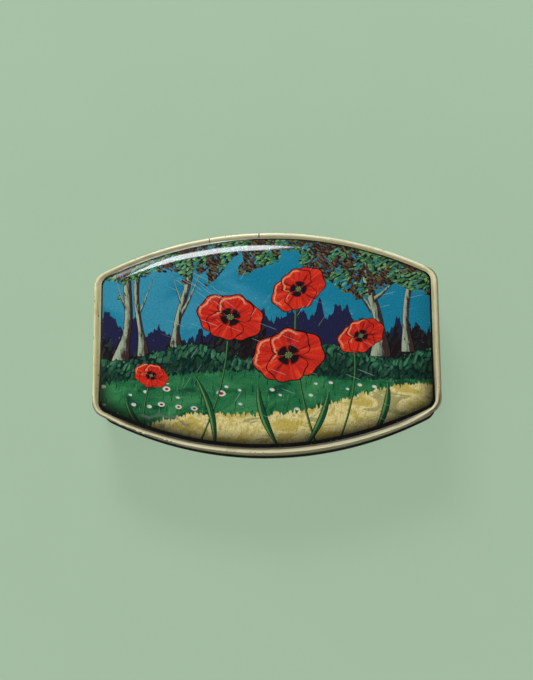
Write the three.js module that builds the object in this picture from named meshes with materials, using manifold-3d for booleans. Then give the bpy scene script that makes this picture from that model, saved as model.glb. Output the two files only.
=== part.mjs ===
// A barrel-shaped pressed tinplate candy tin with a hinged domed lid, in millimetres, +Z up.
// +X runs along the tin, -Y is its front and +Y its back, where the hinge is.

import * as THREE from 'three';
import { mergeVertices } from 'three/addons/utils/BufferGeometryUtils.js';
import Module from 'manifold-3d';

// Plan of the closed tin, over the lid's rolled bead
const tinLength = 150;
const tinDepth = 97;
const longSideBow = 18.7;
const cornerRadius = 7.2;

// Heights above the surface that the tin stands on
const beadHeight = 27.5;
const splitHeight = 15.5;

// Sheet and gaps
const sheetThickness = 0.35;
const slipGap = 0.4;
const seatGap = 0.3;

// Lid
const beadRadius = 1.3;
const skirtSetback = 1;
const rimFlatAtEnds = 0.5;
const rimFlatAtSides = 0.1;
const panelFoot = 0.3;
const shoulderWidth = 9;
const shoulderRise = 2.7;
const crownRise = 2.2;
const panelTopShares = [0, 0.02, 0.05, 0.09, 0.14, 0.21, 0.34, 0.55, 0.8];
const panelUndersideShares = [0.8, 0.45, 0.2, 0.05];
const cornerGrowthShare = 0.5;
const endDriftPower = 2.5;

// Body
const collarHeight = 6.4;
const collarLeadIn = 0.3;

// Base
const seamHeight = 2.4;
const panDepth = 1.5;
const panSlopeWidth = 1.6;
const panCentreShare = 0.8;

// Hinge
const pinRadius = 0.5;
const pinClearance = 0.1;
const hingeSheet = 0.35;
const hingeDrop = 1;
const hingeGap = 0.3;
const centreKnuckleLength = 4.6;
const lidKnuckleLength = 21.8;
const outerKnuckleLength = 3.8;
const pinOverhang = 0.3;
const leafReach = 6.5;

// Facets
const bowSteps = 9;
const cornerSteps = 5;
const endSteps = 3;
const beadSteps = 8;
const knuckleSides = 16;
const leafSteps = 6;
const cutOverrun = 1;

// The outline has bowed long sides, straight ends and round corners, alike in all four quarters
const halfLength = tinLength / 2;
const halfDepth = tinDepth / 2;
const bowRadius = (halfLength ** 2 + longSideBow ** 2) / (2 * longSideBow);

function quadrant(length, depth, bow, corner) {
  const bowCentre = depth - bow;
  const cornerX = length - corner;
  const cornerY = bowCentre + Math.sqrt((bow - corner) ** 2 - cornerX ** 2);
  const turn = Math.asin(cornerX / (bow - corner));
  const points = [];
  for (let i = 0; i < bowSteps; i++) {
    const angle = (turn * i) / bowSteps;
    points.push([bow * Math.sin(angle), bowCentre + bow * Math.cos(angle)]);
  }
  for (let i = 0; i < cornerSteps; i++) {
    const angle = turn + ((Math.PI / 2 - turn) * i) / cornerSteps;
    points.push([cornerX + corner * Math.sin(angle), cornerY + corner * Math.cos(angle)]);
  }
  for (let i = 0; i <= endSteps; i++) {
    points.push([length, cornerY * (1 - i / endSteps)]);
  }
  return points;
}

// The whole outline at one height, counterclockwise from above
function outline(length, depth, bow, corner, height) {
  const quarter = quadrant(length, depth, bow, corner);
  const rightBack = quarter.slice().reverse();
  const leftBack = quarter.map(([x, y]) => [-x, y]);
  const leftFront = quarter.map(([x, y]) => [-x, -y]).reverse();
  const rightFront = quarter.map(([x, y]) => [x, -y]);
  const loop = [rightBack, leftBack, leftFront, rightFront].flatMap((part) => part.slice(0, -1));
  return loop.map(([x, y]) => new THREE.Vector3(x, y, height));
}

// A ring set in from the bead's outermost line, parallel to it
function insetRing(inset, height) {
  return outline(halfLength - inset, halfDepth - inset, bowRadius - inset, cornerRadius - inset, height);
}

// The picture panel's rings run parallel to its edge there and close in on the centre, as its
// edge's corners grow rounder; a share of 0 is the edge and 1 the centre
const rimWidthAtEnds = 2 * beadRadius + rimFlatAtEnds;
const rimWidthAtSides = 2 * beadRadius + rimFlatAtSides;
const panelHalfLength = halfLength - rimWidthAtEnds;
const panelHalfDepth = halfDepth - rimWidthAtSides;
const panelBowRadius = bowRadius - rimWidthAtSides;
const panelBow = panelBowRadius - Math.sqrt(panelBowRadius ** 2 - panelHalfLength ** 2);
const panelCorner = cornerRadius - (rimWidthAtEnds + rimWidthAtSides) / 2;

function panelRing(share, height) {
  const depth = panelHalfDepth * (1 - share);
  const endDrift = (panelHalfLength - panelHalfDepth) * share ** endDriftPower;
  const length = panelHalfLength - panelHalfDepth * share - endDrift;
  const sagitta = panelBow * (1 - share);
  const bow = (length ** 2 + sagitta ** 2) / (2 * sagitta);
  const corner = (1 - share) * (panelCorner + cornerGrowthShare * panelHalfDepth * share);
  return outline(length, depth, bow, corner, height);
}

// Height of the domed panel's top: a rounded shoulder at its edge, then a gentle crown
function panelTop(share) {
  const shoulder = Math.min((share * panelHalfDepth) / shoulderWidth, 1);
  const rolled = shoulderRise * (1 - (1 - shoulder) ** 2);
  const crowned = crownRise * Math.sin((Math.PI / 2) * share);
  return beadHeight + panelFoot + rolled + crowned;
}

// Joins rings of equal counts by bands; the ends close on the axis, or the last joins the first
function loft(rings, closesOnItself) {
  const count = rings[0].length;
  const positions = rings.flat().flatMap((point) => [point.x, point.y, point.z]);
  const index = [];
  const bands = closesOnItself ? rings.length : rings.length - 1;
  for (let i = 0; i < bands; i++) {
    const from = i * count;
    const to = ((i + 1) % rings.length) * count;
    for (let j = 0; j < count; j++) {
      const k = (j + 1) % count;
      index.push(from + j, from + k, to + k, from + j, to + k, to + j);
    }
  }
  if (!closesOnItself) {
    const last = (rings.length - 1) * count;
    const lowCentre = rings.length * count;
    const highCentre = lowCentre + 1;
    positions.push(0, 0, rings[0][0].z, 0, 0, rings.at(-1)[0].z);
    for (let j = 0; j < count; j++) {
      const k = (j + 1) % count;
      index.push(lowCentre, k, j, highCentre, last + j, last + k);
    }
  }
  const geometry = new THREE.BufferGeometry();
  geometry.setAttribute('position', new THREE.Float32BufferAttribute(positions, 3));
  geometry.setIndex(index);
  geometry.computeVertexNormals();
  return geometry;
}

// Levels and insets that pieces share
const skirtInner = skirtSetback + sheetThickness;
const collarOuter = skirtInner + slipGap;
const collarInner = collarOuter + sheetThickness;
const skirtBottom = splitHeight + seatGap;
const collarTop = splitHeight + collarHeight;

// One ring of the bead's round, from its foot on the skirt over its crest to the panel
function beadRing(angle) {
  const inset = beadRadius * (1 - Math.cos(angle));
  return insetRing(inset, beadHeight + beadRadius * Math.sin(angle));
}

// Lid: domed picture panel, rolled bead and skirt pressed from one sheet
function lidShell() {
  const underside = panelUndersideShares.map((share) => panelRing(share, panelTop(share) - sheetThickness));
  const skirt = [
    insetRing(skirtInner, beadHeight - beadRadius),
    insetRing(skirtInner, skirtBottom),
    insetRing(skirtSetback, skirtBottom),
  ];
  const beadStart = -Math.acos(1 - skirtSetback / beadRadius);
  const bead = [];
  for (let i = 0; i <= beadSteps; i++) {
    bead.push(beadRing(beadStart + ((Math.PI - beadStart) * i) / beadSteps));
  }
  const top = panelTopShares.map((share) => panelRing(share, panelTop(share)));
  return loft([...underside, ...skirt, ...bead, ...top], false);
}

// Body: one strip, flush with the lid's skirt below the split and necked in to a collar above it
function bodyWall() {
  const foot = sheetThickness + seatGap;
  const neck = splitHeight - sheetThickness;
  const collarBend = splitHeight + collarHeight / 2;
  return loft([
    insetRing(skirtSetback, foot),
    insetRing(skirtSetback, splitHeight),
    insetRing(collarOuter, splitHeight),
    insetRing(collarOuter, collarBend),
    insetRing(collarOuter + collarLeadIn, collarTop),
    insetRing(collarInner + collarLeadIn, collarTop),
    insetRing(collarInner, collarBend),
    insetRing(collarInner, neck),
    insetRing(skirtInner, neck),
    insetRing(skirtInner, foot),
  ], true);
}

// Base: a stamped pan whose rim folds round the wall's lower edge and stands on the table
function basePlate() {
  const slotOuter = skirtSetback - seatGap;
  const slotInner = skirtInner + seatGap;
  const footInner = slotInner + sheetThickness;
  const footOuter = slotOuter - sheetThickness;
  const panFloor = panDepth + sheetThickness;
  return loft([
    panelRing(panCentreShare, panDepth),
    insetRing(footInner + panSlopeWidth, panDepth),
    insetRing(footInner, 0),
    insetRing(footOuter, 0),
    insetRing(footOuter, seamHeight),
    insetRing(slotOuter, seamHeight),
    insetRing(slotOuter, sheetThickness),
    insetRing(slotInner, sheetThickness),
    insetRing(slotInner, panFloor),
    panelRing(panCentreShare, panFloor),
  ], false);
}

// Hinge line: straight, and just behind the wall where its bow is farthest back
const knuckleBore = pinRadius + pinClearance;
const knuckleRadius = knuckleBore + hingeSheet;
const leafFront = halfDepth - skirtSetback + hingeGap;
const hingeY = leafFront + knuckleRadius;
const hingeZ = splitHeight - hingeDrop;
const lidKnuckleStart = centreKnuckleLength / 2 + hingeGap;
const lidKnuckleEnd = lidKnuckleStart + lidKnuckleLength;
const outerKnuckleStart = lidKnuckleEnd + hingeGap;
const outerKnuckleEnd = outerKnuckleStart + outerKnuckleLength;

// Booleans join and cut the hinge's plain shapes
const wasm = await Module();
wasm.setup();

function toSolid(geometry) {
  const bare = geometry.clone();
  bare.deleteAttribute('normal');
  bare.deleteAttribute('uv');
  const merged = mergeVertices(bare);
  return new wasm.Manifold(new wasm.Mesh({
    numProp: 3,
    vertProperties: new Float32Array(merged.attributes.position.array),
    triVerts: new Uint32Array(merged.index.array),
  }));
}

function toGeometry(solid) {
  const mesh = solid.getMesh();
  const geometry = new THREE.BufferGeometry();
  geometry.setAttribute('position', new THREE.Float32BufferAttribute(mesh.vertProperties, mesh.numProp));
  geometry.setIndex(Array.from(mesh.triVerts));
  geometry.computeVertexNormals();
  return geometry;
}

function join(solids) {
  return solids.reduce((whole, solid) => whole.add(solid));
}

// A rod along X on the hinge line
function rod(radius, fromX, toX) {
  const geometry = new THREE.CylinderGeometry(radius, radius, toX - fromX, knuckleSides);
  geometry.rotateZ(Math.PI / 2);
  geometry.translate((fromX + toX) / 2, hingeY, hingeZ);
  return geometry;
}

// How far the bowed wall falls back, at x, from its own middle
function bowAt(x) {
  const radius = bowRadius - skirtSetback;
  return radius - Math.sqrt(radius ** 2 - x ** 2);
}

// An upright block whose front follows the wall's bow and whose back is that front moved back,
// or, where it reaches the hinge line, straight
function bowedBlock(fromX, toX, lowZ, highZ, backOf) {
  const front = [];
  const back = [];
  for (let i = 0; i <= leafSteps; i++) {
    const x = fromX + ((toX - fromX) * i) / leafSteps;
    const y = leafFront - bowAt(x);
    front.push(new THREE.Vector2(x, y));
    back.unshift(new THREE.Vector2(x, backOf(y)));
  }
  const shape = new THREE.Shape([...front, ...back]);
  const geometry = new THREE.ExtrudeGeometry(shape, { depth: highZ - lowZ, bevelEnabled: false });
  geometry.translate(0, 0, lowZ);
  return toSolid(geometry);
}

function leafPlate(fromX, toX, lowZ, highZ) {
  return bowedBlock(fromX, toX, lowZ, highZ, (y) => y + hingeSheet);
}

// A knuckle with the strap that joins it to its leaf: over the pin (side 1) or under it (side -1)
function knuckle(fromX, toX, side) {
  const strapNear = hingeZ + side * knuckleBore;
  const strapFar = hingeZ + side * knuckleRadius;
  const strap = bowedBlock(fromX, toX, Math.min(strapNear, strapFar), Math.max(strapNear, strapFar), () => hingeY);
  return join([strap, toSolid(rod(knuckleRadius, fromX, toX))]);
}

function withBore(solid) {
  const reach = outerKnuckleEnd + cutOverrun;
  return toGeometry(solid.subtract(toSolid(rod(knuckleBore, -reach, reach))));
}

// Lid tab: a bowed leaf on the skirt's back, rolled round the pin at its lower edge
function lidHingeTab(fromX, toX) {
  const leaf = leafPlate(fromX, toX, hingeZ + knuckleBore, hingeZ + leafReach);
  return withBore(join([leaf, knuckle(fromX, toX, 1)]));
}

// Body leaf: one bowed plate on the wall's back with a knuckle at its middle and at each end
function bodyHingeLeaf() {
  const spans = [
    [-outerKnuckleEnd, -outerKnuckleStart],
    [-centreKnuckleLength / 2, centreKnuckleLength / 2],
    [outerKnuckleStart, outerKnuckleEnd],
  ];
  const plateTop = hingeZ - knuckleRadius - hingeGap;
  const plate = leafPlate(-outerKnuckleEnd, outerKnuckleEnd, hingeZ - leafReach, plateTop);
  const tabs = spans.map(([from, to]) => leafPlate(from, to, plateTop - hingeGap, hingeZ - knuckleBore));
  const knuckles = spans.map(([from, to]) => knuckle(from, to, -1));
  return withBore(join([plate, ...tabs, ...knuckles]));
}

function hingePin() {
  const reach = outerKnuckleEnd + pinOverhang;
  return rod(pinRadius, -reach, reach);
}

function material(name, color, roughness, metalness) {
  return new THREE.MeshStandardMaterial({ name, color, roughness, metalness });
}

const creamEnamel = material('cream_enamel', '#b8ae84', 0.4, 0.1);
const blackEnamel = material('black_enamel', '#14110f', 0.35, 0.1);
const bareTinplate = material('bare_tinplate', '#a9a595', 0.35, 0.9);
const steelWire = material('steel_wire', '#8f8d88', 0.3, 1);

const tin = new THREE.Group();

function place(name, geometry, meshMaterial) {
  const mesh = new THREE.Mesh(geometry, meshMaterial);
  mesh.name = name;
  tin.add(mesh);
}

place('lid_shell', lidShell(), creamEnamel);
place('lid_hinge_tab_left', lidHingeTab(-lidKnuckleEnd, -lidKnuckleStart), bareTinplate);
place('lid_hinge_tab_right', lidHingeTab(lidKnuckleStart, lidKnuckleEnd), bareTinplate);
place('hinge_pin', hingePin(), steelWire);
place('body_hinge_leaf', bodyHingeLeaf(), bareTinplate);
place('body_wall', bodyWall(), creamEnamel);
place('base_plate', basePlate(), blackEnamel);

// The origin is the middle of the whole tin's plan, with the knuckles that stand behind the bead
const hingeOverhang = hingeY + knuckleRadius - halfDepth;
tin.position.y = -hingeOverhang / 2;

export default tin;
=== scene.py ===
"""A flat, barrel-shaped candy tin of pressed tinplate with a hinged picture lid, dressed over its frame.

Shapes are worked out in millimetres, in the tin's own plan, and written to the meshes in metres.
"""

import math

import bpy
import numpy as np
from mathutils import Matrix, Quaternion, Vector


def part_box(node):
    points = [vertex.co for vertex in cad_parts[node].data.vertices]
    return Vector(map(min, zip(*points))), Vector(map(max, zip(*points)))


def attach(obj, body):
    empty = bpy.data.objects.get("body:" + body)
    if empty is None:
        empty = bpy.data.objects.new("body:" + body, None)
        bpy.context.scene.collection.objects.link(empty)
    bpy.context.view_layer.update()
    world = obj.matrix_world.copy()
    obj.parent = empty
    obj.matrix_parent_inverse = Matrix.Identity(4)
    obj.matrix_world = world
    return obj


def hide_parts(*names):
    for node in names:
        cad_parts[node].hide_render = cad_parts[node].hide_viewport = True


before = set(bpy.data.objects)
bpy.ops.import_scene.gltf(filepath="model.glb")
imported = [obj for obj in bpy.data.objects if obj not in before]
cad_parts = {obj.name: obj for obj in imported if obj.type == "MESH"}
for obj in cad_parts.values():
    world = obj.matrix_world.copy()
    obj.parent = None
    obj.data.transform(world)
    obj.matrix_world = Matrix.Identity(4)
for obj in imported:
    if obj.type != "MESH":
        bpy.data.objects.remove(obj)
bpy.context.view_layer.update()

MM = 0.001

# Sizes read from the frame
wall_low, wall_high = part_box("body_wall")
lid_low, lid_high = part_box("lid_shell")
_, base_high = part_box("base_plate")
leaf_low, leaf_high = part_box("body_hinge_leaf")
pin_low, pin_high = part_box("hinge_pin")
tab_low, tab_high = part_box("lid_hinge_tab_right")
PLAN_Y = (lid_low.y + lid_high.y) / 2 / MM
HALF_LENGTH = lid_high.x / MM
HALF_DEPTH = (lid_high.y - lid_low.y) / 2 / MM
SKIRT_INSET = HALF_LENGTH - wall_high.x / MM
SKIRT_BOTTOM = lid_low.z / MM
COLLAR_TOP = wall_high.z / MM
WALL_FOOT = wall_low.z / MM
SEAM_INSET = HALF_LENGTH - base_high.x / MM
SEAM_TOP = base_high.z / MM
HINGE_Y = (pin_low.y + pin_high.y) / 2 / MM - PLAN_Y
HINGE_Z = (pin_low.z + pin_high.z) / 2 / MM
PIN_RADIUS = (pin_high.z - pin_low.z) / 2 / MM
PIN_REACH = pin_high.x / MM
LEAF_REACH = leaf_high.x / MM
TAB_TOP = tab_high.z / MM
TAB_INNER = tab_low.x / MM
TAB_OUTER = tab_high.x / MM

# Driving sizes, in millimetres
SHEET = 0.35
SIDE_BOW = 18.7
CORNER = 7.2
BOW_RADIUS = (HALF_LENGTH**2 + SIDE_BOW**2) / (2 * SIDE_BOW)
BEAD_Z = 27.5
BEAD_RADIUS = 1.15
RIM_AT_ENDS = 3.05
RIM_AT_SIDES = 2.4
RIM_POWER = 0.85
RIM_FOOT_Z = BEAD_Z + 0.2
PANEL_FOOT = BEAD_Z + 0.2
SHOULDER_WIDTH = 11.0
SHOULDER_RISE = 2.75
SHOULDER_POWER = 2.5
CROWN_RISE = 2.0
CORNER_GROWTH_SHARE = 0.5
END_DRIFT_POWER = 2.5
PANEL_CENTRE = 0.985
DENTS_FADE = 0.06
PRESSED_LINE_UP = 1.5
PRESSED_LINE_HALF = 0.55
PRESSED_LINE_DEPTH = 0.13
SPLIT_Z = SKIRT_BOTTOM - 0.3
SLIP_GAP = 0.4
COLLAR_LEAD = 0.3
PAN_DEPTH = 1.5
PAN_SLOPE = 1.6
SEAM_GAP = 0.3
HINGE_SHEET = 0.35
HINGE_GAP = 0.3
KNUCKLE_MIDDLE = 0.775
CENTRE_KNUCKLE = 2.3
OUTER_KNUCKLE = 24.7
KNUCKLE_ROOM = 0.45
LEAF_LAP = 0.4
LEAF_TRIM = 0.02
FOOT_BAND = 7.2
SLIT_X = (-24.4, -2.6)
TOLERANCE = 0.01

# Points round a quarter of the outline: along the bow, round the corner, down the end
BOW_STEPS, CORNER_STEPS, END_STEPS = 64, 30, 22

# The finishes of a piece by their place in its list: the lid has three, the wall and the base have two
LID_PICTURE, LID_OUTSIDE, LID_INSIDE = 0, 1, 2
OUTSIDE, INSIDE = 0, 1


def quarter_loops(length, depth, bow, corner):
    """Quarter outlines, one row each: an arc of the bow's radius, a tangent corner arc, the straight end."""
    length, depth, bow, corner = (np.atleast_1d(v)[:, None] for v in (length, depth, bow, corner))
    bow_centre = depth - bow
    corner_x = length - corner
    corner_y = bow_centre + np.sqrt((bow - corner) ** 2 - corner_x**2)
    turn = np.arcsin(corner_x / (bow - corner))
    along_bow = turn * np.arange(BOW_STEPS) / BOW_STEPS
    round_corner = turn + (np.pi / 2 - turn) * np.arange(CORNER_STEPS) / CORNER_STEPS
    down_end = 1 - np.arange(END_STEPS + 1) / END_STEPS
    x = np.hstack([bow * np.sin(along_bow), corner_x + corner * np.sin(round_corner), length + 0 * down_end])
    y = np.hstack([bow_centre + bow * np.cos(along_bow), corner_y + corner * np.cos(round_corner),
                   corner_y * down_end])
    return x, y


def loops(length, depth, bow, corner, height):
    """Whole outlines, counterclockwise, as (rows, points, xyz): the quarter outline mirrored in both axes."""
    x, y = quarter_loops(length, depth, bow, corner)
    right_back = np.stack([x, y], -1)[:, ::-1]
    left_back = np.stack([-x, y], -1)
    left_front = np.stack([-x, -y], -1)[:, ::-1]
    right_front = np.stack([x, -y], -1)
    flat = np.concatenate([part[:, :-1] for part in (right_back, left_back, left_front, right_front)], axis=1)
    heights = np.broadcast_to(np.reshape(height, (len(flat), -1)), flat.shape[:2])
    return np.dstack([flat, heights])


def rim_loops(profile, at_ends=None):
    """Outlines set in from the bead's outermost line: profile rows are (inset, height) in millimetres."""
    inset, height = np.asarray(profile, float).T
    end_inset = inset if at_ends is None else np.asarray(at_ends, float)
    return loops(HALF_LENGTH - end_inset, HALF_DEPTH - inset, BOW_RADIUS - inset,
                 CORNER - (inset + end_inset) / 2, height)


PANEL_HALF_LENGTH = HALF_LENGTH - RIM_AT_ENDS
PANEL_HALF_DEPTH = HALF_DEPTH - RIM_AT_SIDES
PANEL_BOW_RADIUS = BOW_RADIUS - RIM_AT_SIDES
PANEL_BOW = PANEL_BOW_RADIUS - math.sqrt(PANEL_BOW_RADIUS**2 - PANEL_HALF_LENGTH**2)
PANEL_CORNER = CORNER - (RIM_AT_ENDS + RIM_AT_SIDES) / 2


def panel_loops(share, height):
    """Outlines closing in on the panel's centre, from its edge at share 0, their corners growing rounder."""
    share = np.asarray(share, float)
    depth = PANEL_HALF_DEPTH * (1 - share)
    drift = (PANEL_HALF_LENGTH - PANEL_HALF_DEPTH) * share**END_DRIFT_POWER
    length = PANEL_HALF_LENGTH - PANEL_HALF_DEPTH * share - drift
    sagitta = PANEL_BOW * (1 - share)
    bow = (length**2 + sagitta**2) / (2 * sagitta)
    corner = (1 - share) * (PANEL_CORNER + CORNER_GROWTH_SHARE * PANEL_HALF_DEPTH * share)
    return loops(length, depth, bow, corner, height)


def panel_height(share):
    """Dome over its edge: a shoulder that flattens by a power law, plus a quarter sine of crown."""
    shoulder = np.clip(np.asarray(share) * PANEL_HALF_DEPTH / SHOULDER_WIDTH, 0, 1)
    return PANEL_FOOT + SHOULDER_RISE * (1 - (1 - shoulder) ** SHOULDER_POWER) + CROWN_RISE * np.sin(
        np.pi / 2 * share)


def dents(x, y):
    """Slow unevenness of the pressed sheet, a few hundredths of a millimetre: a sum of seeded sine waves."""
    rng = np.random.default_rng(7)
    count, depth = 9, 0.024
    waves = rng.normal(0, 1, (count, 2)) * rng.uniform(0.12, 0.34, (count, 1))
    phases = rng.uniform(0, 2 * np.pi, count)
    return depth * sum(np.sin(x * wx + y * wy + phase) for (wx, wy), phase in zip(waves, phases)) / 2


def dented(rows, shares):
    """The panel's outlines with its dents, which fade out towards the panel's edge at share 0."""
    rows[..., 2] += dents(rows[..., 0], rows[..., 1]) * np.clip(shares / DENTS_FADE, 0, 1)[:, None]
    return rows


def grid(*parts):
    """Points whose coordinates come from arrays that broadcast to one shape."""
    return np.stack(np.broadcast_arrays(*parts), -1)


def filleted(corners, radii, steps=5):
    """A profile whose corners are rounded: each becomes an arc tangent to its two sides."""
    corners = np.asarray(corners, float)
    out = [corners[:1]]
    for before, here, after, radius in zip(corners, corners[1:], corners[2:], radii):
        if radius == 0:
            out.append(here[None])
            continue
        a = (before - here) / np.linalg.norm(before - here)
        b = (after - here) / np.linalg.norm(after - here)
        half = math.acos(float(np.clip(a @ b, -1, 1))) / 2
        reach = radius / math.tan(half)
        centre = here + (a + b) / np.linalg.norm(a + b) * radius / math.sin(half)
        start, end = here + a * reach - centre, here + b * reach - centre
        sweep = math.pi - 2 * half
        t = np.linspace(0, 1, steps + 1)[:, None]
        out.append(centre + (np.sin((1 - t) * sweep) * start + np.sin(t * sweep) * end) / math.sin(sweep))
    out.append(corners[-1:])
    return np.vstack(out)


def subdivided(profile, longest):
    """The profile with its long straight runs cut into steps no longer than the given length."""
    profile = np.asarray(profile, float)
    lengths = np.linalg.norm(np.diff(profile, axis=0), axis=1)
    counts = np.maximum(1, np.ceil(lengths / longest).astype(int))
    runs = [a + (b - a) * np.arange(n)[:, None] / n for a, b, n in zip(profile, profile[1:], counts)]
    return np.vstack(runs + [profile[-1:]])


def outward(points, quads, triangles=()):
    """The closed shell's faces, turned round if its signed volume (the sum of a.(b x c) / 6) is negative."""
    points = np.asarray(points, float)
    quads = np.asarray(quads, int).reshape(-1, 4)
    triangles = np.asarray(triangles, int).reshape(-1, 3)
    fans = np.vstack([quads[:, [0, 1, 2]], quads[:, [0, 2, 3]], triangles])
    a, b, c = (points[fans[:, i]] for i in range(3))
    if np.einsum("ij,ij->i", a, np.cross(b, c)).sum() < 0:
        quads, triangles = quads[:, ::-1], triangles[:, ::-1]
    return points, quads, triangles


def linked(name, data):
    """A new object of the scene that holds the given mesh, lamp or camera."""
    made = bpy.data.objects.new(name, data)
    bpy.context.scene.collection.objects.link(made)
    return made


def mesh_piece(name, points, quads, triangles=(), attributes=None, slots=None):
    """A smooth mesh object from arrays in millimetres of the tin's plan, its faces pointing outwards."""
    points, quads, triangles = outward(points, quads, triangles)
    world = (points + [0, PLAN_Y, 0]) * MM
    mesh = bpy.data.meshes.new(name)
    mesh.vertices.add(len(world))
    mesh.vertices.foreach_set("co", world.ravel())
    corners = np.concatenate([quads.ravel(), triangles.ravel()])
    mesh.loops.add(len(corners))
    mesh.loops.foreach_set("vertex_index", corners)
    starts = np.concatenate([np.arange(len(quads)) * 4, len(quads) * 4 + np.arange(len(triangles)) * 3])
    mesh.polygons.add(len(starts))
    mesh.polygons.foreach_set("loop_start", starts)
    if slots is not None:
        mesh.polygons.foreach_set("material_index", np.asarray(slots, int))
    mesh.update(calc_edges=True)
    mesh.validate()
    mesh.shade_smooth()
    for label, values in (attributes or {}).items():
        layer = mesh.attributes.new(label, "FLOAT", "POINT")
        layer.data.foreach_set("value", np.asarray(values, float).ravel())
    return linked(name, mesh)


def ring_faces(rows, count, closed):
    """Quads between neighbouring rows of closed loops, and from the last row to the first if closed."""
    i = np.arange(rows if closed else rows - 1)[:, None]
    j = np.arange(count)[None, :]
    below, above, following = i * count, (i + 1) % rows * count, (j + 1) % count
    return np.stack([below + j, below + following, above + following, above + j], -1).reshape(-1, 4)


def capped_piece(name, rows, attributes=None, slots=None):
    """A solid from loops that start and end near the axis, each end closed on one centre point."""
    count = rows.shape[1]
    points = rows.reshape(-1, 3)
    first, last = rows[0].mean(0), rows[-1].mean(0)
    j = np.arange(count)
    following = (j + 1) % count
    base = (len(rows) - 1) * count
    low = np.stack([np.full(count, len(points)), following, j], -1)
    high = np.stack([np.full(count, len(points) + 1), base + j, base + following], -1)
    faces = ring_faces(len(rows), count, False)
    named = {k: np.concatenate([np.ravel(v), [np.ravel(v)[0], np.ravel(v)[-1]]]) for k, v in
             (attributes or {}).items()}
    if slots is not None:
        slots = np.concatenate([np.repeat(slots, count), np.repeat([slots[0], slots[-1]], count)])
    return mesh_piece(name, np.vstack([points, first, last]), faces, np.vstack([low, high]), named, slots)


def looped_piece(name, rows, slots):
    """A ring-shaped solid from loops whose last row joins the first."""
    faces = ring_faces(len(rows), rows.shape[1], True)
    return mesh_piece(name, rows.reshape(-1, 3), faces, slots=np.repeat(slots, rows.shape[1]))


def sheet_shell(surface, thickness):
    """A sheet that thins at its edges: each point of the middle surface moved half the thickness both ways
    along the cross product of the surface's two directions, the two sides joined round all four edges."""
    edge_share, end_share = 0.55, 0.7
    surface = np.asarray(surface, float)
    along = np.gradient(surface, axis=0)
    across = np.gradient(surface, axis=1)
    normal = np.cross(along, across)
    normal /= np.linalg.norm(normal, axis=2, keepdims=True)
    stations, count = surface.shape[:2]
    half = np.full(count, thickness / 2)
    half[[0, -1]] *= edge_share
    half = np.tile(half[:, None], (stations, 1, 1))
    half[[0, -1]] *= end_share
    loop = np.concatenate([surface + normal * half, (surface - normal * half)[:, ::-1]], axis=1)
    sides = ring_faces(stations, 2 * count, False)
    i = np.arange(count - 1)
    mirror = 2 * count - 1 - i
    last = (stations - 1) * 2 * count
    start_cap = np.stack([i + 1, i, mirror, mirror - 1], -1)
    end_cap = np.stack([i, i + 1, mirror - 1, mirror], -1) + last
    return outward(loop.reshape(-1, 3), np.vstack([sides, start_cap, end_cap]))[:2]


def joined_piece(name, shells):
    """Several closed shells as one object."""
    offsets = np.cumsum([0] + [len(points) for points, _ in shells[:-1]])
    points = np.vstack([points for points, _ in shells])
    quads = np.vstack([faces + offset for (_, faces), offset in zip(shells, offsets)])
    return mesh_piece(name, points, quads)


def rim_slope(t, crest_z, crest_inset, spread):
    """The bead's inner slope from crest (t 0) to foot (t 1): a raised cosine of a power of t falls while the
    inset grows."""
    at_sides = crest_inset + (RIM_AT_SIDES + spread - crest_inset) * t
    at_ends = crest_inset + (RIM_AT_ENDS + spread - crest_inset) * t
    fall = crest_z - (RIM_FOOT_Z - (BEAD_Z + BEAD_RADIUS - crest_z))
    return at_sides, at_ends, crest_z - fall * (0.5 - 0.5 * np.cos(np.pi * t**RIM_POWER))


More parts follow.
